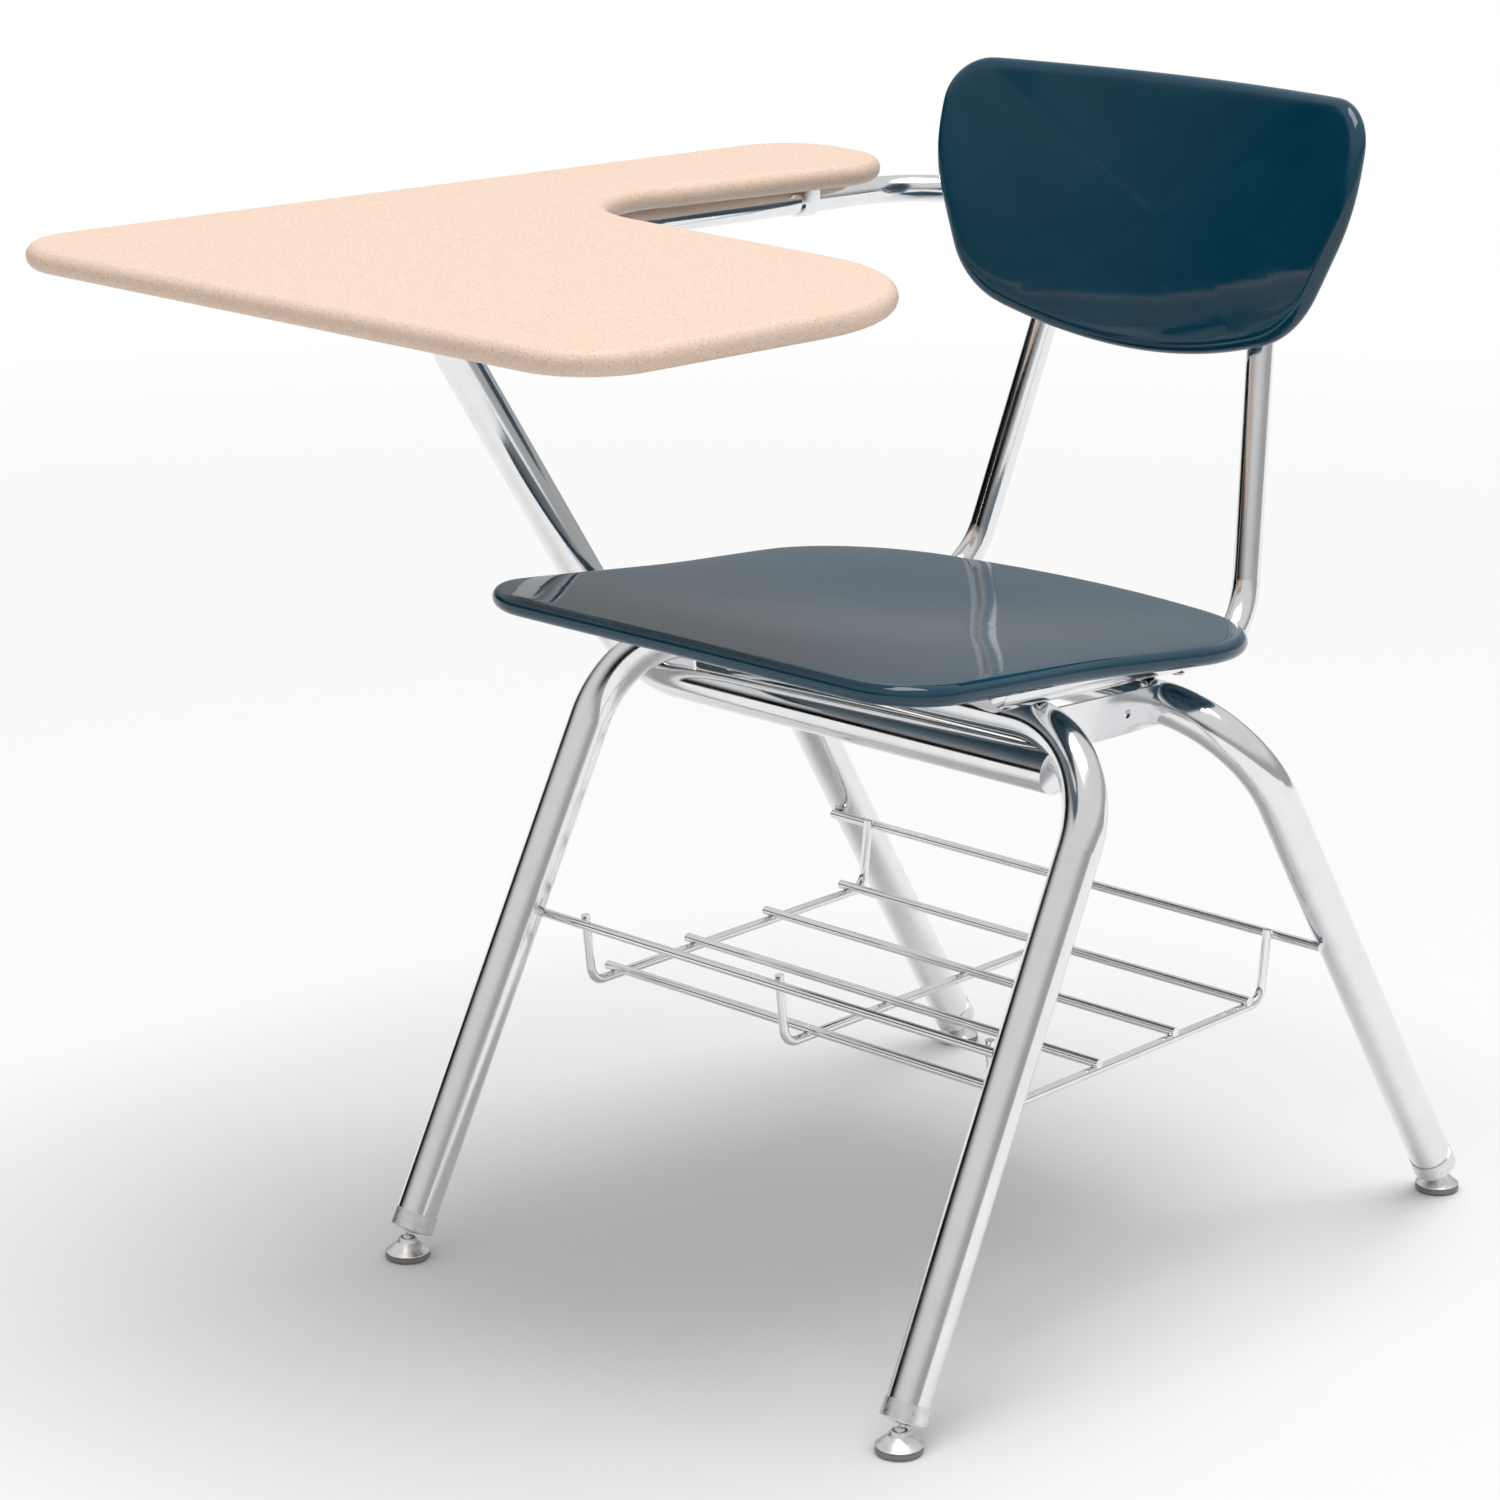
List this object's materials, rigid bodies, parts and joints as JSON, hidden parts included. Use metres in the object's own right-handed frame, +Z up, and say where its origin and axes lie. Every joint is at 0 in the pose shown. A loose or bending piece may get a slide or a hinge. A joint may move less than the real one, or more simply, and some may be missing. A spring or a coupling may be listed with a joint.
{
  "type": "student desk chair",
  "caption": "Classroom chair of bent chromed tube with a moulded seat and back, a writing top on a side arm, a wire book rack and self-levelling feet.",
  "frame": {"origin": "centre of the overall box in X and Y, on the floor under the feet", "axes": "+Z up; the sitter faces -Y; the sitter's left hand is at +X and the writing top is at -X"},
  "size_m": [0.6294, 0.7774, 0.7692],
  "materials": {
    "chrome_steel": "bright polished chrome on steel tube and wire",
    "nickel_steel": "satin nickel on pressed and turned steel",
    "zinc_steel": "bright zinc on screws",
    "navy_plastic": "high gloss moulded hard plastic, navy blue",
    "sand_laminate": "fine matt texture with small grey and brown specks",
    "grey_plastic": "matt grey nylon"
  },
  "bodies": {
    "chair_frame": {"seat_shell": "navy_plastic", "back_shell": "navy_plastic", "work_top": "sand_laminate", "front_leg_arch": "chrome_steel", "rear_leg_arch": "chrome_steel", "left_back_post": "chrome_steel", "right_back_post": "chrome_steel", "left_side_plate": "chrome_steel", "right_side_plate": "chrome_steel", "arm_front_tube": "chrome_steel", "arm_rear_tube": "chrome_steel", "arm_rear_tube_plug": "grey_plastic", "top_support_plate": "chrome_steel", "arm_strap_clamp": "chrome_steel", "top_screws": "zinc_steel", "clamp_screws": "zinc_steel", "seat_screws": "zinc_steel", "back_screws": "zinc_steel", "back_spacers": "grey_plastic", "post_plugs": "grey_plastic", "rack_front_rail": "chrome_steel", "rack_rear_rail": "chrome_steel", "rack_left_hoop": "chrome_steel", "rack_middle_hoop": "chrome_steel", "rack_right_hoop": "chrome_steel", "rack_floor_wire_1": "chrome_steel", "rack_floor_wire_2": "chrome_steel", "rack_floor_wire_3": "chrome_steel", "rack_floor_wire_4": "chrome_steel", "front_left_leg_sleeve": "nickel_steel", "front_left_ball_stud": "nickel_steel", "front_right_leg_sleeve": "nickel_steel", "front_right_ball_stud": "nickel_steel", "rear_left_leg_sleeve": "nickel_steel", "rear_left_ball_stud": "nickel_steel", "rear_right_leg_sleeve": "nickel_steel", "rear_right_ball_stud": "nickel_steel"},
    "front_left_liner": {"front_left_socket_liner": "grey_plastic"},
    "front_left_foot": {"front_left_foot_cup": "nickel_steel", "front_left_foot_pad": "grey_plastic"},
    "front_right_liner": {"front_right_socket_liner": "grey_plastic"},
    "front_right_foot": {"front_right_foot_cup": "nickel_steel", "front_right_foot_pad": "grey_plastic"},
    "rear_left_liner": {"rear_left_socket_liner": "grey_plastic"},
    "rear_left_foot": {"rear_left_foot_cup": "nickel_steel", "rear_left_foot_pad": "grey_plastic"},
    "rear_right_liner": {"rear_right_socket_liner": "grey_plastic"},
    "rear_right_foot": {"rear_right_foot_cup": "nickel_steel", "rear_right_foot_pad": "grey_plastic"}
  },
  "joints": [
    {"name": "front_left_foot_fore_aft_tilt", "type": "hinge", "parent": "chair_frame", "child": "front_left_liner", "pos_m": [0.29943, -0.2039, 0.0135], "axis": [1, 0, 0], "range_deg": [-8, 8]},
    {"name": "front_left_foot_side_tilt", "type": "hinge", "parent": "front_left_liner", "child": "front_left_foot", "pos_m": [0.29943, -0.2039, 0.0135], "axis": [0, 1, 0], "range_deg": [-8, 8]},
    {"name": "front_right_foot_fore_aft_tilt", "type": "hinge", "parent": "chair_frame", "child": "front_right_liner", "pos_m": [-0.14317, -0.2039, 0.0135], "axis": [1, 0, 0], "range_deg": [-8, 8]},
    {"name": "front_right_foot_side_tilt", "type": "hinge", "parent": "front_right_liner", "child": "front_right_foot", "pos_m": [-0.14317, -0.2039, 0.0135], "axis": [0, 1, 0], "range_deg": [-8, 8]},
    {"name": "rear_left_foot_fore_aft_tilt", "type": "hinge", "parent": "chair_frame", "child": "rear_left_liner", "pos_m": [0.29943, 0.3734, 0.0135], "axis": [1, 0, 0], "range_deg": [-8, 8]},
    {"name": "rear_left_foot_side_tilt", "type": "hinge", "parent": "rear_left_liner", "child": "rear_left_foot", "pos_m": [0.29943, 0.3734, 0.0135], "axis": [0, 1, 0], "range_deg": [-8, 8]},
    {"name": "rear_right_foot_fore_aft_tilt", "type": "hinge", "parent": "chair_frame", "child": "rear_right_liner", "pos_m": [-0.14317, 0.3734, 0.0135], "axis": [1, 0, 0], "range_deg": [-8, 8]},
    {"name": "rear_right_foot_side_tilt", "type": "hinge", "parent": "rear_right_liner", "child": "rear_right_foot", "pos_m": [-0.14317, 0.3734, 0.0135], "axis": [0, 1, 0], "range_deg": [-8, 8]}
  ]
}
